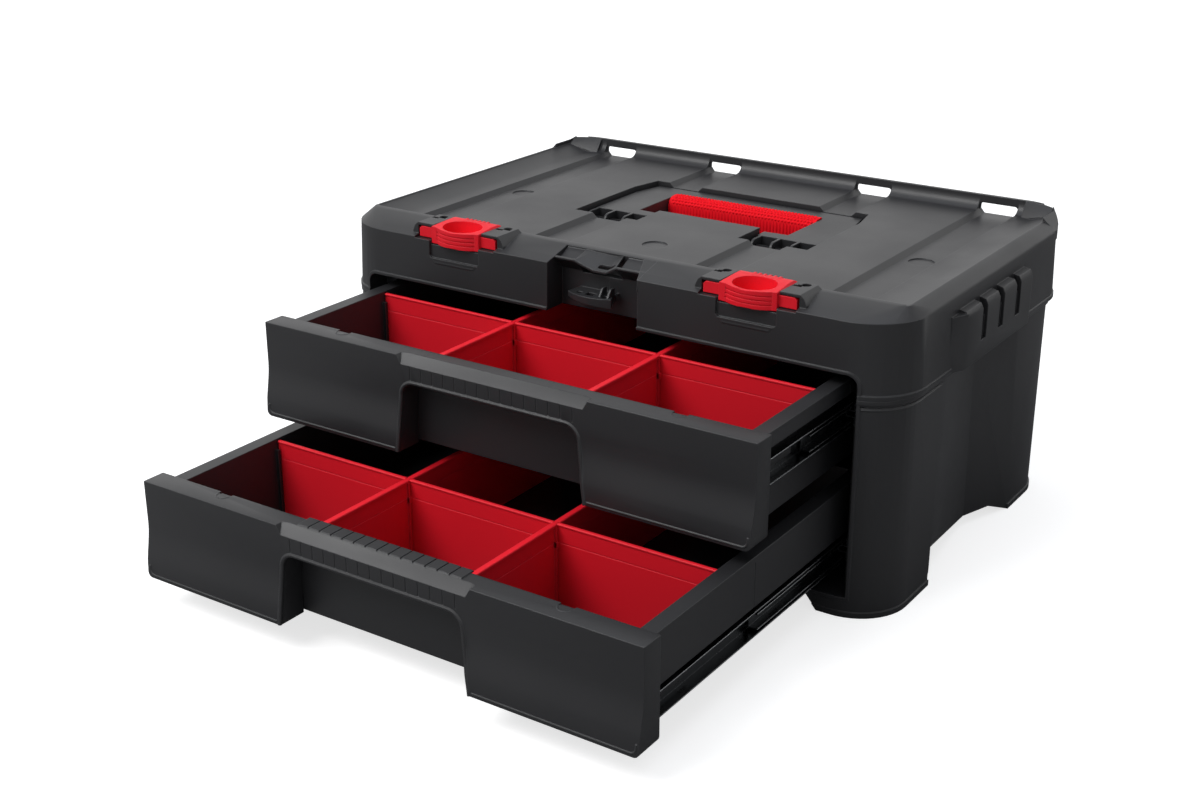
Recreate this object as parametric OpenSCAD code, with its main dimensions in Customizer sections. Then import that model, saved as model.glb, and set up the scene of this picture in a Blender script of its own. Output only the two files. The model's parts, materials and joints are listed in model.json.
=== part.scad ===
// Portable tool box with two drawers on telescopic ball-bearing slides.
// Frame: X to the right, Y to the back, Z up; the drawers pull out towards -Y.
// The origin is on the centre plane, at the height of the feet.

/* [Housing] */
// Width over the side walls of the lower housing
body_w = 472.8; // [470:0.2:476]
// Position of the front wall
front_y = -160; // [-162:0.5:-159]
// Position of the rear wall of the lower housing
rear_y = 148; // [147:0.5:149]
// Corner radius of the lower housing, seen from above
corner_r = 38.6; // [34:0.2:42]
// Height of the joint between the two housings
joint_z = 159.7; // [158:0.1:161]
// Height of the sill under the drawers
sill_z = 15; // [13:0.5:16]
// Width of the drawer opening
opening_w = 416.8; // [414:0.2:420]
// Height of the lower edge of the apron over the drawers
apron_z = 176; // [174:0.5:178]

/* [Lid] */
// Height of the ridge round the deck
ridge_z = 219.2; // [218:0.1:220]
// Height of the rear rim
rim_z = 224; // [222:0.1:226]
// Height of the raised strips of the deck
deck_z = 212.7; // [212:0.1:214]
// Height of the floor of the channels between the strips
channel_z = 209; // [208:0.1:210]
// Distance of the inner channels from the centre plane
channel_in_x = 70.3; // [68:0.1:72]
// Distance of the outer channels from the centre plane
channel_out_x = 178.4; // [176:0.1:180]

/* [Drawers] */
// Width of a drawer front
front_w = 403; // [400:0.5:406]
// Height of a drawer front
front_h = 70.4; // [68:0.2:71]
// Height of the lower edge of the lower drawer front
lower_z = 20.8; // [20:0.1:22]
// Height of the lower edge of the upper drawer front
upper_z = 99.8; // [99:0.1:101]
// How far the lower drawer is pulled out
lower_open = 248; // [0:1:262]
// How far the upper drawer is pulled out
upper_open = 124; // [0:1:262]
// Distance of the long dividers from the centre plane
divider_x = 62.1; // [58:0.1:66]
// Position of the short dividers in a closed drawer
divider_y = -44.4; // [-60:0.1:-30]

/* [Slides] */
// Length of each slide member
slide_len = 265; // [255:1:265]
// Half the height of the drawer member
slide_half_h = 8.85; // [8.8:0.05:8.9]
// Radius of the balls
ball_r = 1; // [0.95:0.01:1]
// Balls in each row of a cage
balls = 6; // [3:1:8]

/* [Latches and handle] */
// Distance of each latch from the centre plane
latch_x = 124; // [122:0.5:125]
// Width of the latch between its cover plates
latch_w = 44.2; // [43:0.2:45]
// How far the latches are pulled out
latch_open = 0; // [0:0.1:6]
// How far the handle is lifted, in degrees
handle_open = 0; // [0:1:95]

/* [Hidden] */

black = [0.17, 0.17, 0.17];
red = [0.88, 0.12, 0.18];
steel = [0.36, 0.37, 0.38];

half_w = body_w / 2;
upper_half_w = half_w + 2.5;
upper_rear_y = rear_y + 8;
upper_corner_r = corner_r + 3.4;
wall = 3;
bead = 2.2;
bay_half_w = 198.4;
bay_rear_y = rear_y - 4;
jamb_y = front_y + 21;
side_in_x = bay_half_w + 4;

// Drawer heights, measured from the lower edge of the front
tub_floor = 2.2;
tub_top = 67;
divider_top = 65.4;
tub_half_w = 187;
tub_wall = 2.5;
rail_out_x = 195.5;
tub_front_y = jamb_y + 0.3;
tub_rear_y = 138;
upper_slide_z = 140.5;
lower_slide_z = 40;
upper_skirt_z = 156;
lower_skirt_z = 52;

// Slides: u runs outwards from the drawer wall, v runs up from the slide axis
slide_mid_y = -5.5;
gauge = 1;
race = 2.1;
drawer_in = slide_half_h - gauge;
middle_out = drawer_in - race;
middle_in = middle_out - 0.9;
crown_out = middle_in - race;
crown_in = crown_out - 0.9;
wall_u = bay_half_w - tub_half_w;

// Latches and handle: the latches slide under cover plates beside them
seat_hw = latch_w / 2 + 0.5;
plate_y = front_y + 6;
plate_z = 221.8;
wing_hw = 35.6;
wing_floor_z = 210.7;
wing_roof_z = 219.7;
handle_pin_y = -13;
handle_pin_z = 203;

function arc(x, y, r, a0, a1, n) =
    [for (i = [0 : n]) [x + r * cos(a0 + (a1 - a0) * i / n),
                        y + r * sin(a0 + (a1 - a0) * i / n)]];

// Rounded outline of a housing: half width, front, rear, front and rear radius
module outline(hw, y0, y1, rf, rr) {
    polygon(concat(
        arc(hw - rf, y0 + rf, rf, -90, 0, 12),
        arc(hw - rr, y1 - rr, rr, 0, 90, 12),
        arc(-hw + rr, y1 - rr, rr, 90, 180, 12),
        arc(-hw + rf, y0 + rf, rf, 180, 270, 12)));
}

module slab(hw, y0, y1, rf, rr, z) {
    translate([0, 0, z])
        linear_extrude(0.2)
            outline(hw, y0, y1, rf, rr);
}

// A prism along X from x0 to x1 whose profile lies in the Y-Z plane
module along_x(x0, x1) {
    translate([x0, 0, 0])
        rotate([90, 0, 90])
            linear_extrude(x1 - x0)
                children();
}

// A prism along Y from y0 to y1 whose profile lies in the X-Z plane
module along_y(y0, y1) {
    translate([0, y1, 0])
        rotate([90, 0, 0])
            linear_extrude(y1 - y0)
                children();
}

module box(x0, x1, y0, y1, z0, z1) {
    translate([x0, y0, z0])
        cube([x1 - x0, y1 - y0, z1 - z0]);
}

module both_sides() {
    children();
    mirror([1, 0, 0])
        children();
}

// ---------------------------------------------------------------- housings

screw_spots = [[222, front_y + 38], [222, rear_y - 34]];

module screw_column(r, z0, z1) {
    for (p = screw_spots)
        translate([p[0], p[1], z0])
            cylinder(r = r, h = z1 - z0, $fn = 32);
}

// V-shaped hollow in each side wall between the front and the rear leg
module side_hollow() {
    hull() {
        translate([0, 0, -1])
            linear_extrude(0.1)
                polygon([[half_w, -83], [half_w - 16, 21],
                         [half_w, 70], [half_w + 5, 70], [half_w + 5, -83]]);
        translate([0, 0, joint_z - 3.4])
            linear_extrude(0.1)
                polygon([[half_w, -75], [half_w - 16, 15],
                         [half_w, 57], [half_w + 5, 57], [half_w + 5, -75]]);
    }
}

// Space between the feet, with a sloped front end at the rear foot
module foot_gap() {
    box(half_w - 60, half_w + 5, -83, 46, -1, 9);
    along_x(half_w - 60, half_w + 5)
        polygon([[45, -1], [45, 9], [48, 9], [73, -1]]);
    // chamfer under the front part of the side hollow
    along_y(-82, 21)
        polygon([[half_w - 17, 8], [half_w + 5, 36],
                 [half_w + 5, 0], [half_w - 17, 0]]);
}

module lower_bay() {
    both_sides() {
        box(-1, opening_w / 2, front_y - 5, jamb_y, sill_z, joint_z + 1);
        box(-1, bay_half_w, jamb_y - 1, bay_rear_y, sill_z, joint_z + 1);
    }
}

// Bead down both sides of the drawer opening and along its sill
module opening_bead() {
    x = opening_w / 2;
    intersection() {
        both_sides() {
            box(x - 1, x + bead, front_y - 2, front_y + 8, sill_z - bead, joint_z);
            box(-1, x + bead, front_y - 2, front_y + 8, sill_z - bead, sill_z);
        }
        linear_extrude(joint_z)
            outline(half_w + 0.7, front_y - 0.7, rear_y, corner_r + 0.7, corner_r);
    }
}

module lower_housing() {
    color(black)
    difference() {
        union() {
            linear_extrude(joint_z)
                outline(half_w, front_y, rear_y, corner_r, corner_r);
            opening_bead();
            // bead along the upper edge
            translate([0, 0, joint_z - 3])
                linear_extrude(3)
                    outline(half_w + 1.6, front_y - 0.8, rear_y + 1.6,
                            corner_r + 1.2, corner_r + 1.2);
            // bead round the soles of the feet
            linear_extrude(4.2)
                outline(half_w + 1, front_y - 0.8, rear_y + 1,
                        corner_r + 0.8, corner_r + 0.8);
        }
        lower_bay();
        both_sides() {
            side_hollow();
            foot_gap();
            // cavity in the side of the box, open at the joint
            box(side_in_x, half_w - 19, -78, 60, sill_z + 3, joint_z + 1);
            difference() {
                translate([0, 0, sill_z])
                    linear_extrude(joint_z)
                        polygon(concat([[side_in_x, -82], [opening_w / 2 + 3, -136],
                            [opening_w / 2 + 3, front_y + wall]],
                            arc(half_w - corner_r, front_y + corner_r,
                                corner_r - wall, -64, 0, 8),
                            [[half_w - wall, -88]]));
                screw_column(7, 0, joint_z);
            }
            difference() {
                translate([0, 0, sill_z])
                    linear_extrude(joint_z)
                        polygon(concat([[side_in_x, 76], [half_w - wall, 76]],
                            arc(half_w - corner_r, rear_y - corner_r,
                                corner_r - wall, 0, 80, 8),
                            [[side_in_x, rear_y - wall]]));
                screw_column(7, 0, joint_z);
            }
            // deep counterbores for the screws that join the housings
            screw_column(4.6, -1, 120);
            screw_column(1.9, 119, joint_z + 1);
            // sloped inner faces of the feet
            along_y(front_y - 5, rear_y + 5)
                polygon([[-1, -1], [188.5, -1], [179, 10], [-1, 10]]);
        }
    }
}

// Profile of the space over the deck: raised strips with channels between them
function channel_half(x) = [[x - 16, deck_z], [x - 12, channel_z],
                            [x + 12, channel_z], [x + 16, deck_z]];

module deck_profile() {
    right = concat(channel_half(channel_in_x), channel_half(channel_out_x),
                   [[209, deck_z], [226.6, ridge_z - 0.5], [226.6, 240]]);
    n = len(right);
    polygon(concat(right, [for (i = [n - 1 : -1 : 0]) [-right[i][0], right[i][1]]]));
}

module deck_space() {
    intersection() {
        along_y(front_y + 34, 160)
            deck_profile();
        translate([0, 0, 200])
            linear_extrude(40)
                outline(226.4, front_y + 34, upper_rear_y - 3.2, 4, 14);
    }
}

// Three shallow round recesses in the deck
module deck_rings() {
    for (p = [[-176, 0, channel_z], [180, 0, channel_z], [3, -80, deck_z]])
        translate(p - [0, 0, 0.8])
            cylinder(r = 9.6, h = 3, $fn = 48);
}

// Slots through the rear rim, one over each channel
module rim_slot(x) {
    along_y(upper_rear_y - 8, upper_rear_y + 4)
        polygon(concat([[x - 15.5, channel_z + 3.6], [x - 12.4, channel_z]],
            [[x + 15.5, channel_z]],
            arc(x + 13, channel_z + 6.2, 2.5, 0, 90, 4),
            arc(x - 13, channel_z + 6.2, 2.5, 90, 180, 4)));
}

// Cove between the deck and the rear rim
module rim_cove(x0, x1) {
    r = 9;
    y = upper_rear_y - 3.2;
    along_x(x0, x1)
        polygon(concat(arc(y - r, deck_z + r, r, -90, 0, 8),
                       [[y + 1, deck_z + r], [y + 1, deck_z - 1],
                        [y - r, deck_z - 1]]));
}

// Inner slope of the rim at a rear corner
module rim_corner() {
    hull() {
        along_x(200, 200.2)
            polygon([[143.8, deck_z - 1], [153.5, deck_z - 1],
                     [153.5, rim_z - 0.4], [151.6, rim_z - 1.4],
                     [146, deck_z + 1.6]]);
        for (p = [[226.4, 139.4, deck_z - 1], [226.4, 139.4, ridge_z - 0.6],
                  [215, 151, rim_z - 0.4], [224, 145.4, rim_z - 0.4],
                  [224, 145.4, deck_z - 1]])
            translate(p - [0.1, 0.1, 0.1])
                cube(0.2);
    }
}

// Four raised pads under a common block on each side of the lid
module side_block() {
    pads = [[-66, -40], [-31, -8.5], [0.5, 23.5], [32.5, 54.5]];
    z0 = joint_z;
    translate([0, 0, z0])
        linear_extrude(30)
            polygon([[upper_half_w - 6, -80], [upper_half_w - 0.6, -80],
                     [upper_half_w + 3, -66], [upper_half_w + 3, 54.5],
                     [upper_half_w - 6, 54.5]]);
    translate([0, 0, z0])
        linear_extrude(13.5)
            polygon([[upper_half_w - 6, -80], [upper_half_w - 0.6, -80],
                     [upper_half_w + 5.5, -66], [upper_half_w + 5.5, 54.5],
                     [upper_half_w - 6, 54.5]]);
    for (p = pads)
        along_y(p[0], p[1])
            polygon([[upper_half_w - 6, z0 + 1], [upper_half_w + 5.5, z0 + 1],
                     [upper_half_w + 5.5, z0 + 37], [upper_half_w + 3.5, z0 + 41],
                     [upper_half_w - 6, z0 + 43]]);
    // slanted front face of the first pad
    translate([0, 0, z0])
        linear_extrude(40)
            polygon([[upper_half_w - 6, -80], [upper_half_w - 0.6, -80],
                     [upper_half_w + 5.5, -66], [upper_half_w - 6, -66]]);
}

// Space that a latch and its wings lie in
module latch_seat() {
    // under the loop, down to the finger pocket in the front wall
    along_x(-seat_hw, seat_hw)
        polygon([[front_y - 5, 207.6], [front_y + 9, 207.6],
                 [front_y + 13, 209.9], [front_y + 32.6, 209.9],
                 [front_y + 32.6, 235], [front_y - 5, 235]]);
    // for the wings, under the cover plates
    box(-37.2, 37.2, front_y - 5, front_y + 24, wing_floor_z, wing_roof_z);
    // open front of the ridge before the plates
    box(-37.2, 37.2, front_y - 5, plate_y, wing_floor_z, 235);
    // finger pocket with bevelled corners and a sloping lower edge
    intersection() {
        along_y(front_y - 5, front_y + 2.6)
            polygon([[-23.1, 215], [-23.1, 199.4], [-17.6, 193.8],
                     [17.6, 193.8], [23.1, 199.4], [23.1, 215]]);
        along_x(-24, 24)
            polygon([[front_y - 5, 190], [front_y - 0.4, 193.4],
                     [front_y + 2.6, 197.4], [front_y + 2.6, 215],
                     [front_y - 5, 215]]);
    }
}

// Cover plates beside a latch, with a hooked slot in each
module latch_cheeks() {
    for (s = [-1, 1])
        difference() {
            along_y(plate_y, front_y + 32)
                polygon([[s * seat_hw, 206], [s * 41, 206], [s * 42.6, 214.6],
                         [s * 40.4, 219.4], [s * 37.4, plate_z],
                         [s * seat_hw, plate_z]]);
            translate([s * 30.5, front_y + 29, 218])
                cylinder(r = 1.7, h = 5, $fn = 24);
            translate([s * 30.5 - 4.6, front_y + 24, 218])
                cube([5, 2.6, 5]);
            translate([s * 30.5 - 0.4, front_y + 24, 218])
                cube([1.6, 5, 5]);
        }
}

// Set-back centre of the front wall and the trough behind its lip
module centre_recess() {
    along_x(-38.5, 38.5)
        polygon([[front_y - 5, apron_z - 5], [front_y + 20, apron_z - 5],
                 [front_y + 20, 204], [front_y + 10, 213],
                 [front_y - 5, 213]]);
    along_x(-38.4, 38.4)
        polygon([[front_y - 5, 212.9], [front_y + 10, 212.9],
                 [front_y + 10, 214.3], [front_y + 12.2, 214.5],
                 [front_y + 20.2, 207.3], [front_y + 26.6, 207.3],
                 [front_y + 26.6, 235], [front_y - 5, 235]]);
    // open under the tongue
    box(-20.3, 14.2, front_y + 9.8, front_y + 26.6, 203, 235);
}

// Scooped tongue that hangs from the ridge to the lip of the recess
module hasp_tongue() {
    y0 = front_y + 10;
    y1 = ridge_z - 0.4;
    top = [[-20.7, y0, 214.2], [-13, y0, 211.8], [-4.3, y0, 209.5],
           [5.8, y0, 209.6], [14.4, y0, 214.3],
           [-21.8, y0 + 20, y1], [-14, y0 + 20, y1 - 0.3],
           [-3, y0 + 18, y1 - 1.2], [6, y0 + 17.5, y1 - 1.6],
           [9.8, y0 + 19, y1]];
    difference() {
        polyhedron(concat(top, [for (p = top) p - [0, 0, 1.8]]), concat(
            [for (i = [0 : 3]) each [[i, i + 5, i + 6], [i, i + 6, i + 1],
                [i + 10, i + 16, i + 15], [i + 10, i + 11, i + 16],
                [i, i + 1, i + 11], [i, i + 11, i + 10],
                [i + 6, i + 5, i + 15], [i + 6, i + 15, i + 16]]],
            [[5, 0, 10], [5, 10, 15], [4, 9, 19], [4, 19, 14]]));
        translate([-1, y0 + 2.4, 200])
            cube([10, 4.2, 20]);
        for (x = [-1, 9])
            translate([x, y0 + 4.5, 200])
                cylinder(r = 2.1, h = 20, $fn = 24);
    }
}

// Lower lug of the centre recess, with its eyes and its ribs
module hasp_lug() {
    difference() {
        intersection() {
            translate([0, 0, 184])
                linear_extrude(8)
                    polygon(concat([[-22, front_y + 21]],
                        arc(-4, front_y + 37.2, 37, 238, 299, 10),
                        [[6, front_y + 21]]));
            along_y(front_y, front_y + 22)
                polygon([[-24, 188.2], [-24, 192], [14.4, 192], [14.4, 185]]);
        }
        box(-9, -2, front_y + 5, front_y + 11, 183, 195);
        box(-17, -13, front_y + 6, front_y + 9.5, 189, 195);
        box(4.2, 8.8, front_y + 5.4, front_y + 10, 187, 195);
    }
    for (x = [2.4, 9.2])
        along_x(x, x + 1.6)
            polygon([[front_y + 5.6, 191.6], [front_y + 9, 196.5],
                     [front_y + 13, 199.6], [front_y + 21, 201],
                     [front_y + 21, 191.6]]);
}

// Bead along the edge of the apron, round both upper corners of the opening
module apron_bead() {
    r = 8;
    x = opening_w / 2;
    intersection() {
        both_sides()
            along_y(front_y - 2, front_y + 8)
                polygon(concat([[-1, apron_z]],
                    arc(x - r, apron_z - r, r, 90, 0, 6),
                    [[x, joint_z], [x + bead, joint_z]],
                    arc(x - r, apron_z - r, r + bead, 0, 90, 6),
                    [[-1, apron_z + bead]]));
        translate([0, 0, joint_z])
            linear_extrude(30)
                outline(upper_half_w + 0.7, front_y - 0.7, upper_rear_y,
                        upper_corner_r + 0.7, upper_corner_r);
    }
}

well = [[-103, -30], [-45, -30], [-45, 4], [45, 4], [45, -30], [103, -30],
        [103, 58], [97.5, 86], [-97.5, 86], [-103, 58]];

module upper_shell() {
    hull() {
        slab(upper_half_w, front_y, upper_rear_y, upper_corner_r, upper_corner_r,
             joint_z);
        slab(upper_half_w - 1.7, front_y + 1, upper_rear_y - 0.8,
             upper_corner_r - 0.4, upper_corner_r - 0.4, 211.6);
        slab(upper_half_w - 2.6, front_y + 9, upper_rear_y - 2,
             upper_corner_r - 1.5, upper_corner_r - 1.5, 213.8);
        slab(227.85, front_y + 28, upper_rear_y - 9, 8, 9, ridge_z - 0.2);
    }
    // rear rim: round both rear corners, then down to the ridge
    intersection() {
        translate([0, 0, 205])
            linear_extrude(30)
                polygon(concat(
                    [[226, 118]], arc(200.5, 119.6, 36, 0, 90, 12),
                    arc(-200.5, 119.6, 36, 90, 180, 12),
                    [[-226, 118], [-226, 140], [-206, 152], [206, 152],
                     [226, 140]]));
        along_y(110, upper_rear_y)
            polygon([[-237, 204], [237, 204], [236.6, 212.6],
                     [229.4, ridge_z], [224.6, rim_z], [-224.6, rim_z],
                     [-229.4, ridge_z], [-236.6, 212.6]]);
    }
    // bead along the lower edge
    translate([0, 0, joint_z])
        linear_extrude(3)
            outline(upper_half_w + 0.6, front_y - 0.8, upper_rear_y + 0.6,
                    upper_corner_r, upper_corner_r);
}

module upper_bay() {
    both_sides() {
        along_y(front_y - 5, jamb_y)
            polygon(concat([[-1, joint_z - 1], [opening_w / 2, joint_z - 1]],
                arc(opening_w / 2 - 8, apron_z - 8, 8, 0, 90, 6),
                [[-1, apron_z]]));
        box(-1, bay_half_w, jamb_y - 1, bay_rear_y + 4, joint_z - 1, apron_z);
        // hollow of the lid beside, before and behind the handle well
        box(107, bay_half_w, front_y + 21, bay_rear_y + 4, apron_z - 1, 205.4);
        box(41, 108, front_y + 21, -33, apron_z - 1, 205.4);
        box(-1, 42, front_y + 30, -1, apron_z - 1, 205.4);
        box(-1, 108, 90, bay_rear_y + 4, apron_z - 1, 205.4);
        // hollow of each side
        box(side_in_x, upper_half_w - 7, -112, 104, joint_z - 1, 205.4);
    }
}

module upper_housing() {
    color(black)
    difference() {
        union() {
            difference() {
                union() {
                    upper_shell();
                    apron_bead();
                    both_sides()
                        side_block();
                }
                deck_space();
                deck_rings();
                centre_recess();
            }
            for (s = [-1, 1])
                for (r = [[channel_out_x + 16, 201], [channel_in_x + 16,
                          channel_out_x - 16], [-1, channel_in_x - 16]])
                    mirror([s < 0 ? 1 : 0, 0, 0])
                        rim_cove(r[0], r[1]);
            both_sides()
                rim_corner();
            both_sides()
                translate([latch_x, 0, 0])
                    latch_cheeks();
            hasp_tongue();
            hasp_lug();
        }
        upper_bay();
        for (s = [-1, 1])
            for (x = [channel_in_x, channel_out_x])
                rim_slot(s * x);
        both_sides() {
            translate([latch_x, 0, 0])
                latch_seat();
            translate([38, handle_pin_y, handle_pin_z])
                rotate([0, 90, 0])
                    cylinder(r = 2, h = 70, $fn = 32);
            screw_column(1.5, joint_z - 1, joint_z + 14);
        }
        // handle well: shallow under the arms, deep under the grip
        translate([0, 0, 195])
            linear_extrude(30)
                polygon(well);
        box(-72, 72, 4, 86, 179, 200);
    }
}

module housing_screws() {
    color(steel)
    both_sides()
        for (p = screw_spots)
            translate([p[0], p[1], 116.4]) {
                cylinder(r = 3.8, h = 3.6, $fn = 32);
                cylinder(r = 1.5, h = joint_z + 13 - 116.4, $fn = 32);
            }
}

// ----------------------------------------------------------------- drawers

// Profile of a drawer front, seen from the side: plumb above, flared below
module front_profile(z) {
    polygon([[-161.9, z], [-161.9, z + 3], [-157, z + 26],
             [-157, z + front_h - 1], [-156, z + front_h],
             [tub_front_y - 0.3, z + front_h], [tub_front_y - 0.3, z]]);
}

module front_hollow(z) {
    polygon([[-159, z + 2.6], [-154.4, z + 26], [-154.4, z + front_h - 9],
             [-147, z + front_h - 2.6], [-130, z + front_h - 2.6],
             [-130, z + 2.6]]);
}

// Opening for the hand, open at the bottom; grow widens it all round
module hand_cut(z, grow) {
    r = 12 + grow;
    h = 50.7 + grow;
    polygon(concat([[-78 - grow, z - 1], [-78 - grow, z + 4]],
        arc(-72 - grow + r, z + h - r, r, 180, 90, 8),
        arc(72 + grow - r, z + h - r, r, 90, 0, 8),
        [[78 + grow, z + 4], [78 + grow, z - 1]]));
}

// Bevel along the middle of the upper edge, to take the fingers
module grip_bevel(z) {
    hull() {
        along_x(-75, 75)
            polygon([[-158, z + front_h - 6.3], [-149, z + front_h],
                     [-149, z + front_h + 2], [-158, z + front_h + 2]]);
        along_x(-80, 80)
            polygon([[-158, z + front_h - 0.5], [-156.5, z + front_h + 0.5],
                     [-156.5, z + front_h + 2], [-158, z + front_h + 2]]);
    }
}

module drawer_front(z, rib) {
    difference() {
        union() {
            difference() {
                along_x(-front_w / 2, front_w / 2)
                    front_profile(z);
                along_x(-front_w / 2 + 2.6, front_w / 2 - 2.6)
                    front_hollow(z);
            }
            // wall round the opening for the hand
            intersection() {
                along_x(-90, 90)
                    front_profile(z);
                along_y(-170, -130)
                    hand_cut(z, 2.6);
            }
            // screw bosses behind the face
            for (x = [-160, -110, 110, 160])
                translate([x, -156, z + 40])
                    rotate([-90, 0, 0])
                        cylinder(r = 4, h = 17, $fn = 32);
        }
        along_y(-175, -125)
            hand_cut(z, 0);
        grip_bevel(z);
        for (x = [-139.5, 138.5])
            box(x - 5.5, x + 5.5, tub_front_y - 3, tub_front_y + 1,
                z + front_h - 1.2, z + front_h + 1);
        for (x = [-160, -110, 110, 160])
            translate([x, -152, z + 40])
                rotate([-90, 0, 0])
                    cylinder(r = 1.5, h = 20, $fn = 32);
    }
    // cross ribs on the bevel
    for (i = [-7 : 7])
        along_x(i * 9.6 - 1.1, i * 9.6 + 1.1)
            polygon([[-157, z + front_h - 7], [-157, z + front_h - 5.4],
                     [-155.8, z + front_h - 4.4 + rib],
                     [-149.6, z + front_h - 0.4 + rib * 0.3],
                     [-149, z + front_h - 1.4]]);
}

module front_screws(z) {
    for (x = [-160, -110, 110, 160])
        translate([x, -151, z + 40])
            rotate([-90, 0, 0]) {
                cylinder(r = 1.5, h = tub_front_y + tub_wall + 151, $fn = 32);
                translate([0, 0, tub_front_y + tub_wall + 151])
                    cylinder(r = 3.4, h = 1.8, $fn = 32);
            }
}

// Tray of a drawer with its side rails and skirts
module drawer_tub(z, skirt_z) {
    top = z + tub_top;
    floor_z = z + tub_floor;
    difference() {
        union() {
            box(-tub_half_w, tub_half_w, tub_front_y, tub_rear_y, floor_z, top);
            both_sides() {
                box(tub_half_w - 1, rail_out_x, tub_front_y, tub_rear_y,
                    top - 2.5, top);
                box(rail_out_x - 2.5, rail_out_x, tub_front_y, tub_rear_y,
                    skirt_z, top);
                for (y = [-138.4, -90, -40, 10, 60, 110, 135.7])
                    box(tub_half_w - 1, rail_out_x, y, y + 2,
                        skirt_z + 2, top);
            }
            box(-tub_half_w, tub_half_w, tub_rear_y - 1, tub_rear_y + 5,
                top - 2.5, top);
        }
        box(-tub_half_w + tub_wall, tub_half_w - tub_wall,
            tub_front_y + tub_wall, tub_rear_y - tub_wall,
            floor_z + tub_wall, top + 1);
        // parting groove down each side
        both_sides()
            box(rail_out_x - 0.6, rail_out_x + 1, -18.3, -17.7,
                skirt_z - 1, top - 4);
        for (x = [-160, -110, 110, 160])
            translate([x, tub_front_y - 1, z + 40])
                rotate([-90, 0, 0])
                    cylinder(r = 1.6, h = 5, $fn = 32);
    }
    // guides for the dividers
    for (s = [-1, 1])
        for (y = [tub_front_y + 1, tub_rear_y - 5])
            for (d = [-4, 1.6])
                box(s * divider_x + d, s * divider_x + d + 2.4,
                    y, y + 4, floor_z + 1, top - 8);
    both_sides()
        for (d = [-4, 1.6])
            box(tub_half_w - 5, tub_half_w - 1, divider_y + d,
                divider_y + d + 2.4, floor_z + 1, top - 8);
}

// Panel from the front to the back of a drawer
module long_divider(z, s) {
    x = s * divider_x;
    y0 = tub_front_y + tub_wall + 0.4;
    y1 = tub_rear_y - tub_wall - 0.4;
    top = z + divider_top;
    difference() {
        union() {
            box(x - 1, x + 1, y0, y1, z + tub_floor + tub_wall + 0.4, top - 1);
            box(x - 4, x + 4, y0, y1, top - 2.4, top);
            for (d = [-3.4, 1.8])
                for (c = [-1, 1])
                    box(c > 0 ? x : x - 2.6, c > 0 ? x + 2.6 : x,
                        divider_y + d, divider_y + d + 1.6,
                        z + 8, top - 1);
            for (y = [y0 + 42, y1 - 90, y1 - 42])
                box(x - 1.8, x + 1.8, y, y + 1.6, z + 8, top - 1);
        }
        // notch in the top rail for the short dividers
        for (c = [-1, 1])
            box(c > 0 ? x + 2.8 : x - 5, c > 0 ? x + 5 : x - 2.8,
                divider_y - 1.4, divider_y + 1.4, top - 3, top + 1);
    }
}

// Panel across one column of a drawer, from x0 to x1
module short_divider(z, x0, x1) {
    top = z + divider_top;
    box(x0, x1, divider_y - 1, divider_y + 1,
        z + tub_floor + tub_wall + 0.4, top - 3);
    box(x0 + 3, x1 - 3, divider_y - 1, divider_y + 1,
        top - 3.4, top - 1);
    box(x0 + 3, x1 - 3, divider_y - 4, divider_y + 4,
        top - 2.4, top);
    for (x = [x0 + 30, x1 - 31.6])
        box(x, x + 1.6, divider_y - 1.8, divider_y + 1.8, z + 8, top - 1);
}

short_in = divider_x + 1.3;
short_out = tub_half_w - tub_wall - 0.4;

// ------------------------------------------------------------------ slides

// Puts a slide member in place: side, height of the axis, travel so far
module slide_at(side, z, travel) {
    mirror([side < 0 ? 1 : 0, 0, 0])
        translate([tub_half_w, slide_mid_y - travel, z])
            children();
}

module member(profile) {
    along_y(-slide_len / 2, slide_len / 2)
        polygon(profile);
}

function c_section(u0, u1, out, inn, web) =
    [[u0, -out], [u1, -out], [u1, -inn], [u0 + web, -inn],
     [u0 + web, inn], [u1, inn], [u1, out], [u0, out]];

module drawer_rail() {
    difference() {
        member(c_section(0, 9.5, slide_half_h, drawer_in, gauge));
        for (y = [-95, 0, 95])
            translate([-1, y, 0])
                rotate([0, 90, 0])
                    cylinder(r = 1.7, h = 3, $fn = 24);
    }
}

module middle_rail() {
    difference() {
        member(c_section(2.2, 9.3, middle_out, middle_in, 0.9));
        for (y = [-100, -50, 0, 50, 100])
            translate([1, y - 6, -1.6])
                cube([3, 12, 3.2]);
    }
}

module housing_rail() {
    u = wall_u;
    difference() {
        member([[4.3, -crown_out], [u - 1, -crown_out], [u - 1, -8.5], [u, -8.5],
                [u, -crown_in], [5.2, -crown_in], [5.2, crown_in], [u, crown_in],
                [u, 8.5], [u - 1, 8.5], [u - 1, crown_out], [4.3, crown_out]]);
        for (y = [-110, -35, 35, 110])
            translate([4, y - 8, -0.9])
                cube([2, 16, 1.8]);
        for (y = [-115, 115])
            for (v = [-6.8, 6.8])
                translate([u - 2, y, v])
                    rotate([0, 90, 0])
                        cylinder(r = 0.95, h = 4, $fn = 24);
    }
}

// Strip cage with a row of balls above and below the member inside it
module cage(u0, u1, v, len) {
    pitch = (len - 8) / (balls - 1);
    along_y(-len / 2, len / 2)
        polygon([[u0, -v - 0.4], [u1, -v - 0.4], [u1, -v + 0.4],
                 [u0 + 0.6, -v + 0.4], [u0 + 0.6, v - 0.4], [u1, v - 0.4],
                 [u1, v + 0.4], [u0, v + 0.4]]);
    for (i = [0 : balls - 1])
        for (s = [-1, 1])
            translate([(u0 + u1) / 2 + 0.6, -len / 2 + 4 + i * pitch, s * v])
                sphere(r = ball_r, $fn = 24);
}

module inner_cage() {
    cage(1.3, 8.6, drawer_in - race / 2, 100);
}

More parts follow.
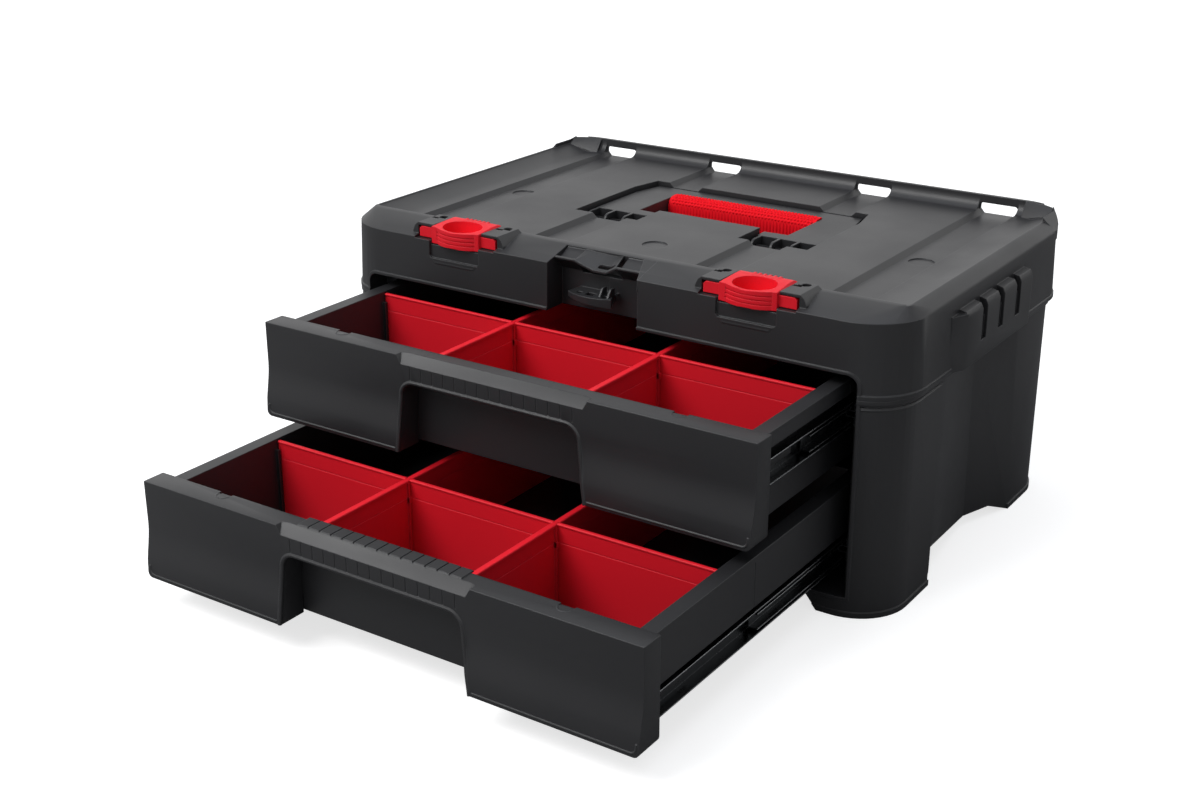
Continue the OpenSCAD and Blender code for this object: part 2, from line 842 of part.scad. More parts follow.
module outer_cage() {
    cage(3.4, 9, middle_in - race / 2, 100);
}

// Plastic lever that frees the drawer member at its front end
module release_lever() {
    translate([1, -slide_len / 2 + 20, -3.4])
        cube([0.9, 30, 6.8]);
    translate([1, -slide_len / 2 + 8, -1.2])
        cube([0.9, 13, 2.4]);
}

module housing_rail_screws() {
    color(steel)
    for (side = [-1, 1])
        for (z = [upper_slide_z, lower_slide_z])
            slide_at(side, z, 0)
                for (y = [-115, 115])
                    for (v = [-6.8, 6.8])
                        translate([wall_u - 1.6, y, v])
                            rotate([0, 90, 0]) {
                                cylinder(r = 1.5, h = 0.6, $fn = 24);
                                cylinder(r = 0.95, h = 4.6, $fn = 24);
                            }
}

module drawer_rail_screws(z, travel) {
    for (side = [-1, 1])
        slide_at(side, z, travel)
            for (y = [-95, 0, 95])
                translate([-2, y, 0])
                    rotate([0, 90, 0])
                        cylinder(r = 1.7, h = 3, $fn = 24);
}

// ------------------------------------------------------- latches and handle

module latch_profile() {
    polygon([[front_y + 30, 211], [front_y + 32, 212.6],
             [front_y + 32, 221.4], [front_y + 31, 222.4],
             [front_y + 28, 222.9], [front_y + 20, 222.7],
             [front_y + 8, 221.8], [front_y - 2, 221.2],
             [front_y - 3.6, 219.8], [front_y - 3.6, 210.2],
             [front_y - 2, 208.6], [front_y + 6, 208.6],
             [front_y + 10, 211]]);
}

module latch_plan(inset) {
    h = latch_w / 2;
    y = front_y + inset;
    polygon(concat([[-h, front_y + 40], [-h, y + 3], [-16.6, y + 2.3]],
        arc(1.2, y + 30.8, 33.4, -122, -58, 10),
        [[19, y + 2.3], [h, y + 3], [h, front_y + 40]]));
}

module latch() {
    h = latch_w / 2;
    difference() {
        union() {
            intersection() {
                along_x(-h, h)
                    latch_profile();
                translate([0, 0, 200])
                    linear_extrude(30)
                        latch_plan(0);
                along_y(front_y - 8, front_y + 40)
                    polygon([[-h, 205], [h, 205], [h, 221], [h - 1.6, 223],
                             [1.6 - h, 223], [-h, 221]]);
            }
            // wings under the cover plates
            along_y(front_y + 5.5, front_y + 22)
                polygon([[-wing_hw, 211.4], [wing_hw, 211.4],
                         [wing_hw, 217.4], [wing_hw - 1.8, 219.2],
                         [1.8 - wing_hw, 219.2], [-wing_hw, 217.4]]);
            // grip teeth along the rear edge
            for (i = [-3 : 2])
                translate([i * 3.9 + 1, front_y + 26, 221.9])
                    cube([2, 6, 1.9]);
        }
        // finger hollow
        translate([0.5, front_y + 12, 212.4])
            scale([1.23, 1, 1])
                cylinder(r = 13, h = 20, $fn = 48);
        // grip lines round the loop
        for (z = [211.4, 214.4, 217.4])
            translate([0, 0, z])
                linear_extrude(0.9)
                    difference() {
                        polygon([[-17, front_y - 6], [19, front_y - 6],
                                 [19, front_y + 4], [-17, front_y + 4]]);
                        latch_plan(0.7);
                    }
    }
}

module latch_at(side) {
    translate([side * latch_x, -latch_open, 0])
        latch();
}

module handle_turn() {
    translate([0, handle_pin_y, handle_pin_z])
        rotate([handle_open, 0, 0])
            translate([0, -handle_pin_y, -handle_pin_z])
                children();
}

module handle_frame() {
    color(black)
    handle_turn()
    difference() {
        union() {
            translate([0, 0, 197])
                linear_extrude(12)
                    polygon([[-100.4, -3], [-47, -3], [-47, 8], [-67, 9],
                             [-67.5, 66], [67.5, 66], [67, 9], [47, 8],
                             [47, -3], [100.4, -3], [100.4, 56], [94.6, 83],
                             [-94.6, 83], [-100.4, 56]]);
            // hinge ribs round the pins
            both_sides()
                for (x = [49, 65.4, 81.6, 97.8])
                    along_x(x, x + 2)
                        union() {
                            translate([handle_pin_y, handle_pin_z])
                                circle(r = 6, $fn = 40);
                            translate([handle_pin_y, handle_pin_z - 6])
                                square([12, 12]);
                        }
        }
        // space for the grip in the rear bar
        box(-67.6, 67.6, 60, 80.2, 190, 204.2);
        // pockets in the underside of the arms
        both_sides()
            box(71, 96, 10, 54, 190, 206);
        translate([-120, handle_pin_y, handle_pin_z])
            rotate([0, 90, 0])
                cylinder(r = 2.05, h = 240, $fn = 32);
    }
}

module handle_grip() {
    color(red)
    handle_turn()
        along_x(-66.8, 66.8)
            polygon(concat(arc(60, 202, 8, 180, 90, 6),
                [[65.8, 210], [65.8, 204]], arc(76, 200, 4, 90, 0, 4),
                arc(74, 190, 6, 0, -90, 5), arc(60, 192, 8, 270, 180, 6)));
}

module handle_pins() {
    color(steel)
    both_sides()
        translate([38, handle_pin_y, handle_pin_z])
            rotate([0, 90, 0])
                cylinder(r = 2, h = 70, $fn = 32);
}

// ------------------------------------------------------------------- nodes

module upper_moved() {
    translate([0, -upper_open, 0])
        children();
}

module lower_moved() {
    translate([0, -lower_open, 0])
        children();
}

lower_housing();
upper_housing();
housing_screws();
color(black) upper_moved() drawer_tub(upper_z, upper_skirt_z);  // upper_drawer_tub
color(black) upper_moved() drawer_front(upper_z, 0);  // upper_drawer_front
color(steel) upper_moved() front_screws(upper_z);  // upper_front_screws
color(black) lower_moved() drawer_tub(lower_z, lower_skirt_z);  // lower_drawer_tub
color(black) lower_moved() drawer_front(lower_z, 1);  // lower_drawer_front
color(steel) lower_moved() front_screws(lower_z);  // lower_front_screws
color(red) upper_moved() long_divider(upper_z, -1);  // upper_long_divider_left
color(red) upper_moved() long_divider(upper_z, 1);  // upper_long_divider_right
color(red) upper_moved() short_divider(upper_z, -short_out, -short_in);  // upper_short_divider_left
color(red) upper_moved() short_divider(upper_z, -short_in + 2.6, short_in - 2.6);  // upper_short_divider_middle
color(red) upper_moved() short_divider(upper_z, short_in, short_out);  // upper_short_divider_right
color(red) lower_moved() long_divider(lower_z, -1);  // lower_long_divider_left
color(red) lower_moved() long_divider(lower_z, 1);  // lower_long_divider_right
color(red) lower_moved() short_divider(lower_z, -short_out, -short_in);  // lower_short_divider_left
color(red) lower_moved() short_divider(lower_z, -short_in + 2.6, short_in - 2.6);  // lower_short_divider_middle
color(red) lower_moved() short_divider(lower_z, short_in, short_out);  // lower_short_divider_right
color(steel) slide_at(-1, upper_slide_z, 0) housing_rail();  // upper_left_housing_rail
color(steel) slide_at(-1, upper_slide_z, upper_open / 2) middle_rail();  // upper_left_middle_rail
color(steel) slide_at(-1, upper_slide_z, upper_open) drawer_rail();  // upper_left_drawer_rail
color(steel) slide_at(-1, upper_slide_z, upper_open / 4) outer_cage();  // upper_left_outer_cage
color(steel) slide_at(-1, upper_slide_z, upper_open * 0.75) inner_cage();  // upper_left_inner_cage
color(black) slide_at(-1, upper_slide_z, upper_open) release_lever();  // upper_left_release_lever
color(steel) slide_at(1, upper_slide_z, 0) housing_rail();  // upper_right_housing_rail
color(steel) slide_at(1, upper_slide_z, upper_open / 2) middle_rail();  // upper_right_middle_rail
color(steel) slide_at(1, upper_slide_z, upper_open) drawer_rail();  // upper_right_drawer_rail
color(steel) slide_at(1, upper_slide_z, upper_open / 4) outer_cage();  // upper_right_outer_cage
color(steel) slide_at(1, upper_slide_z, upper_open * 0.75) inner_cage();  // upper_right_inner_cage
color(black) slide_at(1, upper_slide_z, upper_open) release_lever();  // upper_right_release_lever
color(steel) slide_at(-1, lower_slide_z, 0) housing_rail();  // lower_left_housing_rail
color(steel) slide_at(-1, lower_slide_z, lower_open / 2) middle_rail();  // lower_left_middle_rail
color(steel) slide_at(-1, lower_slide_z, lower_open) drawer_rail();  // lower_left_drawer_rail
color(steel) slide_at(-1, lower_slide_z, lower_open / 4) outer_cage();  // lower_left_outer_cage
color(steel) slide_at(-1, lower_slide_z, lower_open * 0.75) inner_cage();  // lower_left_inner_cage
color(black) slide_at(-1, lower_slide_z, lower_open) release_lever();  // lower_left_release_lever
color(steel) slide_at(1, lower_slide_z, 0) housing_rail();  // lower_right_housing_rail
color(steel) slide_at(1, lower_slide_z, lower_open / 2) middle_rail();  // lower_right_middle_rail
color(steel) slide_at(1, lower_slide_z, lower_open) drawer_rail();  // lower_right_drawer_rail
color(steel) slide_at(1, lower_slide_z, lower_open / 4) outer_cage();  // lower_right_outer_cage
color(steel) slide_at(1, lower_slide_z, lower_open * 0.75) inner_cage();  // lower_right_inner_cage
color(black) slide_at(1, lower_slide_z, lower_open) release_lever();  // lower_right_release_lever
housing_rail_screws();
color(steel) drawer_rail_screws(upper_slide_z, upper_open);  // upper_rail_screws
color(steel) drawer_rail_screws(lower_slide_z, lower_open);  // lower_rail_screws
color(red) latch_at(-1);  // latch_left
color(red) latch_at(1);  // latch_right
handle_frame();
handle_grip();
handle_pins();
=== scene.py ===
import json
import math
import bmesh
import bpy
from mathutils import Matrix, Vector


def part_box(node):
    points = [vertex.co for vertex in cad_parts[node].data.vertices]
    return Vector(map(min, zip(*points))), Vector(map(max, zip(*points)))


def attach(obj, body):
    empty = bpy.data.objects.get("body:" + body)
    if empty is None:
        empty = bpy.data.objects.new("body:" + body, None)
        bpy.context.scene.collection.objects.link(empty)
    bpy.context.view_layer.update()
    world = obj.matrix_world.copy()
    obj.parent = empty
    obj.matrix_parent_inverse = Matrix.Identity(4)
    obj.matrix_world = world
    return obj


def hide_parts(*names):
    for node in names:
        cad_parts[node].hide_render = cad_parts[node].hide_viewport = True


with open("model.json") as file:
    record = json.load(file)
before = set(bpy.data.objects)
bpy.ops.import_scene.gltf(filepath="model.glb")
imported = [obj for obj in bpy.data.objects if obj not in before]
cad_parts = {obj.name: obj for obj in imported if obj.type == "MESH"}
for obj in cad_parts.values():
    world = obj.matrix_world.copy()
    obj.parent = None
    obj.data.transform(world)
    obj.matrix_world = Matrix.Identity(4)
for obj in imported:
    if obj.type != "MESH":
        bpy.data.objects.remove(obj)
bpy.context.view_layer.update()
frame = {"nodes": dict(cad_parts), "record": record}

NODES = frame["nodes"]
BODY = {node: body for body, nodes in frame["record"]["behaviour"]["bodies"].items() for node in nodes}
SLOT = {part["node"]: part["material_slot"] for part in frame["record"]["subparts"]}

# Shapes are written in millimetres and degrees; the stage at the end is in metres.
MM = 0.001


# ---------------------------------------------------------------- finishes

# Width of the patches of uneven sheen on plastic, of the clouds in zinc and of the rolling lines.
SHEEN_MM, CLOUD_MM, LINE_MM = 71.43, 16.667, 0.8333
# The lines run 50 times as long as they are wide.
LINE_STRETCH = 1 / 50
# Where most of a noise's values lie.
NOISE_LOW, NOISE_HIGH = 0.3, 0.7
# Cosines of how far an edge is rounded away where its painted highlight starts and where it is full.
EDGE_HIGHLIGHT_FROM, EDGE_HIGHLIGHT_FULL = 0.995, 0.86


def linear(code):
    """sRGB hex colour as linear values."""
    out = []
    for i in (0, 2, 4):
        c = int(code[i:i + 2], 16) / 255
        out.append(c / 12.92 if c <= 0.04045 else ((c + 0.055) / 1.055) ** 2.4)
    return (*out, 1.0)


def add(tree, kind, links=(), **settings):
    """Adds a node; settings name its sockets or its own fields, links are (from, socket)."""
    n = tree.nodes.new(kind)
    for key, value in settings.items():
        if key in n.inputs:
            n.inputs[key].default_value = value
        else:
            setattr(n, key, value)
    for source, socket in links:
        tree.links.new(source, n.inputs[socket])
    return n


def from_to(from_low, from_high, to_low, to_high):
    """The four sockets of a Map Range node."""
    return {"From Min": from_low, "From Max": from_high, "To Min": to_low, "To Max": to_high}


def per_metre(size_mm):
    """Noise scale whose patches have a size in millimetres."""
    return 1000 / size_mm


def new_material(name):
    """Empty material and its node tree."""
    m = bpy.data.materials.new(name)
    m.use_nodes = True
    m.node_tree.nodes.clear()
    return m, m.node_tree


def moulded_plastic(name, colour, pale, roughness, grain_mm, grain, edge_mm, gloss=0.5):
    """Injection-moulded plastic: spark-eroded grain, and a painted highlight that makes rounded edges
    paler.

    Real grain is near 0.1 mm and would not show, so it is drawn several times coarser. Broad
    patches of slightly rougher skin give the wide faces their uneven sheen.
    """
    m, t = new_material(name)
    place = add(t, "ShaderNodeTexCoord").outputs["Object"]
    fine = add(t, "ShaderNodeTexNoise", [(place, "Vector")], Scale=per_metre(grain_mm),
               Detail=2.0, Roughness=0.6)
    broad = add(t, "ShaderNodeTexNoise", [(place, "Vector")], Scale=per_metre(SHEEN_MM), Detail=4.0)
    edge = add(t, "ShaderNodeBevel", samples=6, Radius=edge_mm * MM)
    flat = add(t, "ShaderNodeNewGeometry")
    turn = add(t, "ShaderNodeVectorMath", [(edge.outputs[0], 0), (flat.outputs["Normal"], 1)],
               operation="DOT_PRODUCT")
    # The pale colour is a painted highlight, mixed in where the shading normal turns away on rounded
    # edges.
    edge_highlight = add(t, "ShaderNodeMapRange", [(turn.outputs["Value"], "Value")],
              **from_to(EDGE_HIGHLIGHT_FROM, EDGE_HIGHLIGHT_FULL, 0.0, 1.0))
    shade = add(t, "ShaderNodeMix", [(edge_highlight.outputs[0], 0)], data_type="RGBA")
    shade.inputs["A"].default_value = linear(colour)
    shade.inputs["B"].default_value = linear(pale)
    rough = add(t, "ShaderNodeMapRange", [(broad.outputs["Fac"], "Value")],
                **from_to(NOISE_LOW, NOISE_HIGH, roughness - 0.03, roughness + 0.05))
    bump = add(t, "ShaderNodeBump", [(fine.outputs["Fac"], "Height"), (edge.outputs[0], "Normal")],
               Strength=grain, Distance=0.06 * MM)
    skin = add(t, "ShaderNodeBsdfPrincipled",
               [(shade.outputs["Result"], "Base Color"), (rough.outputs[0], "Roughness"),
                (bump.outputs[0], "Normal")], IOR=1.49)
    skin.inputs["Specular IOR Level"].default_value = gloss
    add(t, "ShaderNodeOutputMaterial", [(skin.outputs[0], "Surface")])
    return m


def steel_sheet(name, colour, pale, roughness):
    """Roll-formed sheet steel: fine lines along the rolling direction (Y), faint clouds in its finish.

    Rolling lines are near 0.1 mm apart on real strip, and are drawn about 0.8 mm apart to show.
    """
    m, t = new_material(name)
    place = add(t, "ShaderNodeTexCoord").outputs["Object"]
    stretch = add(t, "ShaderNodeMapping", [(place, "Vector")], Scale=(1.0, LINE_STRETCH, 1.0))
    lines = add(t, "ShaderNodeTexNoise", [(stretch.outputs[0], "Vector")], Scale=per_metre(LINE_MM),
                Detail=3.0)
    cloud = add(t, "ShaderNodeTexNoise", [(place, "Vector")], Scale=per_metre(CLOUD_MM), Detail=5.0)
    rough = add(t, "ShaderNodeMapRange", [(cloud.outputs["Fac"], "Value")],
                **from_to(NOISE_LOW, NOISE_HIGH, roughness - 0.06, roughness + 0.08))
    edge = add(t, "ShaderNodeBevel", samples=4, Radius=0.3 * MM)
    bump = add(t, "ShaderNodeBump", [(lines.outputs["Fac"], "Height"), (edge.outputs[0], "Normal")],
               Strength=0.12, Distance=0.05 * MM)
    tint = add(t, "ShaderNodeMix", [(cloud.outputs["Fac"], 0)], data_type="RGBA")
    tint.inputs["A"].default_value = linear(colour)
    tint.inputs["B"].default_value = linear(pale)
    metal = add(t, "ShaderNodeBsdfPrincipled",
                [(tint.outputs["Result"], "Base Color"), (rough.outputs[0], "Roughness"),
                 (bump.outputs[0], "Normal")], Metallic=1.0)
    add(t, "ShaderNodeOutputMaterial", [(metal.outputs[0], "Surface")])
    return m


# Housings, tubs and fronts: charcoal with a low satin sheen, and a painted highlight that makes its edges
# a little paler.
black_pp = moulded_plastic("moulded_black_polypropylene", "272729", "3A3B3D", roughness=0.41,
                           grain_mm=0.5, grain=0.35, edge_mm=0.9)
# Dividers and latches: strong warm red, nearly matt, with edges painted pinker as a highlight.
red_pp = moulded_plastic("moulded_red_polypropylene", "EC1C2C", "F23A48", roughness=0.5,
                         grain_mm=0.6, grain=0.2, edge_mm=0.5, gloss=0.25)
# Handle grip: the fullest red, rubbery and almost without reflections; its edges get a painted highlight
# of paler red.
grip_tpe = moulded_plastic("soft_touch_tpe", "F0101F", "FF2A3A", roughness=0.62,
                           grain_mm=0.5, grain=0.1, edge_mm=0.4, gloss=0.08)
# Slides, cages, balls and screws: zinc darkened to a dark grey, painted shade for the shadowed drawer
# sides it reflects; soft reflections, broken up by rolling lines.
steel = steel_sheet("zinc_plated_steel_painted_dark", "4A4C4E", "5E6062", roughness=0.27)
# Sheared lips of the slides: thin pale lines along them are painted highlights where the edges catch the
# light.
lip_highlight_steel = steel_sheet("painted_highlight_zinc_lines", "9A9C9E", "AEB0B2", roughness=0.24)
# Handle pins: coloured almost black and dull, painted shade that keeps them dark in their sockets.
dark_pin_finish = steel_sheet("steel_pin_painted_dark", "18181A", "202022", roughness=0.5)
FINISH = {"black_plastic": black_pp, "red_plastic": red_pp, "zinc_steel": steel}

for name, obj in NODES.items():
    obj.data.materials.clear()
    obj.data.materials.append(dark_pin_finish if name == "handle_pins" else FINISH[SLOT[name]])


# ------------------------------------------------------------- solid shapes

MERGE = 0.02 * MM
# An edge that turns by more stays sharp.
SHARP = 32
PUT = {"X": lambda a, b, c: (c, a, b), "Y": lambda a, b, c: (a, c, b), "Z": lambda a, b, c: (a, b, c)}


def arc(x, y, r, start, end, steps):
    """Points of an arc."""
    turns = [math.radians(start + (end - start) * i / steps) for i in range(steps + 1)]
    return [(x + r * math.cos(t), y + r * math.sin(t)) for t in turns]


def prism(bm, outline, axis, start, end):
    """Closed solid from an outline, drawn along one axis."""
    ends = [[bm.verts.new(Vector(PUT[axis](a, b, c)) * MM) for a, b in outline] for c in (start, end)]
    faces = [bm.faces.new(ends[0]), bm.faces.new(ends[1][::-1])]
    for i in range(len(outline)):
        j = (i + 1) % len(outline)
        faces.append(bm.faces.new((ends[0][j], ends[0][i], ends[1][i], ends[1][j])))
    bmesh.ops.recalc_face_normals(bm, faces=faces)


def block(bm, x, y, z):
    """Straight rib, step or notch between two places on each axis."""
    prism(bm, [(x[0], y[0]), (x[1], y[0]), (x[1], y[1]), (x[0], y[1])], "Z", z[0], z[1])


def placed(name, data):
    """Object at the origin that holds a mesh, a lamp or a camera."""
    obj = bpy.data.objects.new(name, data)
    bpy.context.scene.collection.objects.link(obj)
    return obj


def solid(name, build):
    """Object made by a function that fills a bmesh."""
    bm = bmesh.new()
    build(bm)
    mesh = bpy.data.meshes.new(name)
    bm.to_mesh(mesh)
    bm.free()
    return placed(name, mesh)


def baked(piece):
    """Puts what a piece's modifiers make into its own mesh and takes them off."""
    graph = bpy.context.evaluated_depsgraph_get()
    mesh = bpy.data.meshes.new_from_object(piece.evaluated_get(graph))
    piece.modifiers.clear()
    piece.data = mesh
    return piece


def combine(piece, tool, operation):
    """Cuts one solid by another, or keeps what they share; the second one goes."""
    step = piece.modifiers.new(operation.lower(), "BOOLEAN")
    step.operation = operation
    step.object = tool
    step.solver = "EXACT"
    step.use_self = True
    baked(piece)
    bpy.data.objects.remove(tool)


def soften(piece, radius, angle):
    """Rounds the edges that turn by more than an angle."""
    step = piece.modifiers.new("round", "BEVEL")
    step.width = radius * MM
    step.segments = 3
    step.limit_method = "ANGLE"
    step.angle_limit = math.radians(angle)
    baked(piece)


def join(piece, parts):
    """Puts the meshes of some parts into one piece; the parts go."""
    bm = bmesh.new()
    for part in [piece] + parts:
        bm.from_mesh(part.data)
    bm.to_mesh(piece.data)
    bm.free()
    for part in parts:
        bpy.data.objects.remove(part)
    return piece


def seat(piece, node, angle=SHARP, finish=None):
    """Shades a finished piece, puts it on its body and lets it stand for its CAD node."""
    bm = bmesh.new()
    bm.from_mesh(piece.data)
    for f in bm.faces:
        f.smooth = True
        f.material_index = 0
    for e in bm.edges:
        e.smooth = not (len(e.link_faces) == 2 and e.calc_face_angle(0) > math.radians(angle))
    bm.to_mesh(piece.data)
    bm.free()
    piece.data.materials.clear()
    piece.data.materials.append(finish or FINISH[SLOT[node]])
    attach(piece, BODY[node])
    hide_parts(node)


def merged_copy(node, name):
    """A CAD node's mesh with its loose triangles joined up."""
    def build(bm):
        bm.from_mesh(NODES[node].data)
        bmesh.ops.remove_doubles(bm, verts=bm.verts, dist=MERGE)
        bmesh.ops.dissolve_degenerate(bm, dist=MERGE, edges=bm.edges)
    return solid(name, build)


def span(node):
    """A node's place at rest: (x0, x1), (y0, y1), (z0, z1)."""
    low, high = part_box(node)
    return [(a / MM, b / MM) for a, b in zip(low, high)]


# --------------------------------------------------- Geometry Nodes for repeats

def start_tree(name, sizes):
    """Tree with named number inputs and a material input, and its input node."""
    t = bpy.data.node_groups.new(name, "GeometryNodeTree")
    t.interface.new_socket("Geometry", in_out="INPUT", socket_type="NodeSocketGeometry")
    for label, value in sizes.items():
        size = t.interface.new_socket(label, in_out="INPUT", socket_type="NodeSocketFloat")
        size.default_value = value
    t.interface.new_socket("Material", in_out="INPUT", socket_type="NodeSocketMaterial")
    t.interface.new_socket("Geometry", in_out="OUTPUT", socket_type="NodeSocketGeometry")
    return t, t.nodes.new("NodeGroupInput")


def end_tree(t, given, shape):
    """Ends a tree in real geometry with its material."""
    real = add(t, "GeometryNodeRealizeInstances", [(shape, "Geometry")])
    skin = add(t, "GeometryNodeSetMaterial",
               [(real.outputs[0], "Geometry"), (given.outputs["Material"], "Material")])
    add(t, "NodeGroupOutput", [(skin.outputs[0], "Geometry")])
    return t


def bead_tree():
    """Round bead that follows the edges of a path."""
    t, given = start_tree("moulded_bead", {"Radius": 1.0 * MM})
    path = add(t, "GeometryNodeMeshToCurve", [(given.outputs["Geometry"], "Mesh")])
    ring = add(t, "GeometryNodeCurvePrimitiveCircle", [(given.outputs["Radius"], "Radius")], Resolution=8)
    tube = add(t, "GeometryNodeCurveToMesh",
               [(path.outputs[0], "Curve"), (ring.outputs[0], "Profile Curve")])
    tube.inputs["Fill Caps"].default_value = True
    return end_tree(t, given, tube.outputs[0])


def stud_tree():
    """Flattened round stud on each point, turned about X by the point's own angle."""
    t, given = start_tree("grip_studs", {"Width": 1.0 * MM, "Length": 1.0 * MM, "Height": 0.5 * MM})
    dome = add(t, "GeometryNodeMeshUVSphere", Segments=8, Rings=5, Radius=1.0)
    size = add(t, "ShaderNodeCombineXYZ", [(given.outputs["Width"], "X"), (given.outputs["Length"], "Y"),
                                           (given.outputs["Height"], "Z")])
    turn = add(t, "GeometryNodeInputNamedAttribute", data_type="FLOAT", Name="turn")
    angles = add(t, "ShaderNodeCombineXYZ", [(turn.outputs["Attribute"], "X")])
    aim = add(t, "FunctionNodeEulerToRotation", [(angles.outputs[0], 0)])
    put = add(t, "GeometryNodeInstanceOnPoints",
              [(given.outputs["Geometry"], "Points"), (dome.outputs[0], "Instance"),
               (aim.outputs[0], "Rotation"), (size.outputs[0], "Scale")])
    return end_tree(t, given, put.outputs[0])


BEAD, STUDS = bead_tree(), stud_tree()


def grow(name, points, edges, tree, material, sizes, turns=None):
    """Runs a tree on some points and keeps the result as a plain mesh."""
    mesh = bpy.data.meshes.new(name)
    mesh.from_pydata([Vector(p) * MM for p in points], edges, [])
    if turns:
        mesh.attributes.new("turn", "FLOAT", "POINT").data.foreach_set("value", turns)
    piece = placed(name, mesh)
    step = piece.modifiers.new(tree.name, "NODES")
    step.node_group = tree
    sockets = {s.name: s.identifier for s in tree.interface.items_tree if s.in_out == "INPUT"}
    for label, value in {**sizes, "Material": material}.items():
        step[sockets[label]] = value
    return baked(piece)


def bead(name, points, radius, material=black_pp):
    """Bead along a list of points."""
    steps = [(i, i + 1) for i in range(len(points) - 1)]
    return grow(name, points, steps, BEAD, material, {"Radius": radius * MM})


# ------------------------------------------------------------ drawer fronts

FRONT_H, FRONT_CORNER, FRONT_WALL, FRONT_ROUND = 70.4, 4, 2.6, 2.0
TOE_INSET, TOE_H = 0.9, 3
FLARE, FLARE_TOP, FLARE_STEP, FLARE_STEPS = 4.7, 40, 3, 10
HAND_LEFT, HAND_LEFT_FOOT, HAND_RIGHT, HAND_RIGHT_FOOT = -75, -76.5, 71, 78
HAND_H, HAND_R = 50.7, 10
BEVEL_H, BEVEL_REAR, BEVEL_LOW_HALF, BEVEL_TOP_HALF = 6.3, 13, 75, 80
RIB_PITCH, RIBS, RIB_LIFT, RIB_SIDE_GAP = 9.6, 15, 0.9, 0.55
GROOVE_HALF, GROOVE_DEEP = 0.4, 0.3
MARK_X, MARK_R, NOTCH_HALF, NOTCH_DEEP = (-139.5, 138.5), 5, 5.5, 1.2
HAND_RIM_R, LOWER_RIM_R, MARK_LINE_R = 1.5, 0.7, 0.4
LOWER_RIM_IN = 2.2


def face_depth(z):
    """How far the face lies behind the front's foremost line, at a height above its lower edge."""
    t = min(max((z - TOE_H) / (FLARE_TOP - TOE_H), 0), 1)
    return TOE_INSET + FLARE * t * t * (3 - 2 * t)


def hand_outline(wider):
    """Outline of the opening for the hand, from its left foot over the top to its right foot."""
    r, h = HAND_R + wider, HAND_H + wider
    return ([(HAND_LEFT_FOOT - wider, 0)] + arc(HAND_LEFT - wider + r, h - r, r, 180, 90, 8)
            + arc(HAND_RIGHT + wider - r, h - r, r, 90, 0, 8) + [(HAND_RIGHT_FOOT + wider, 0)])


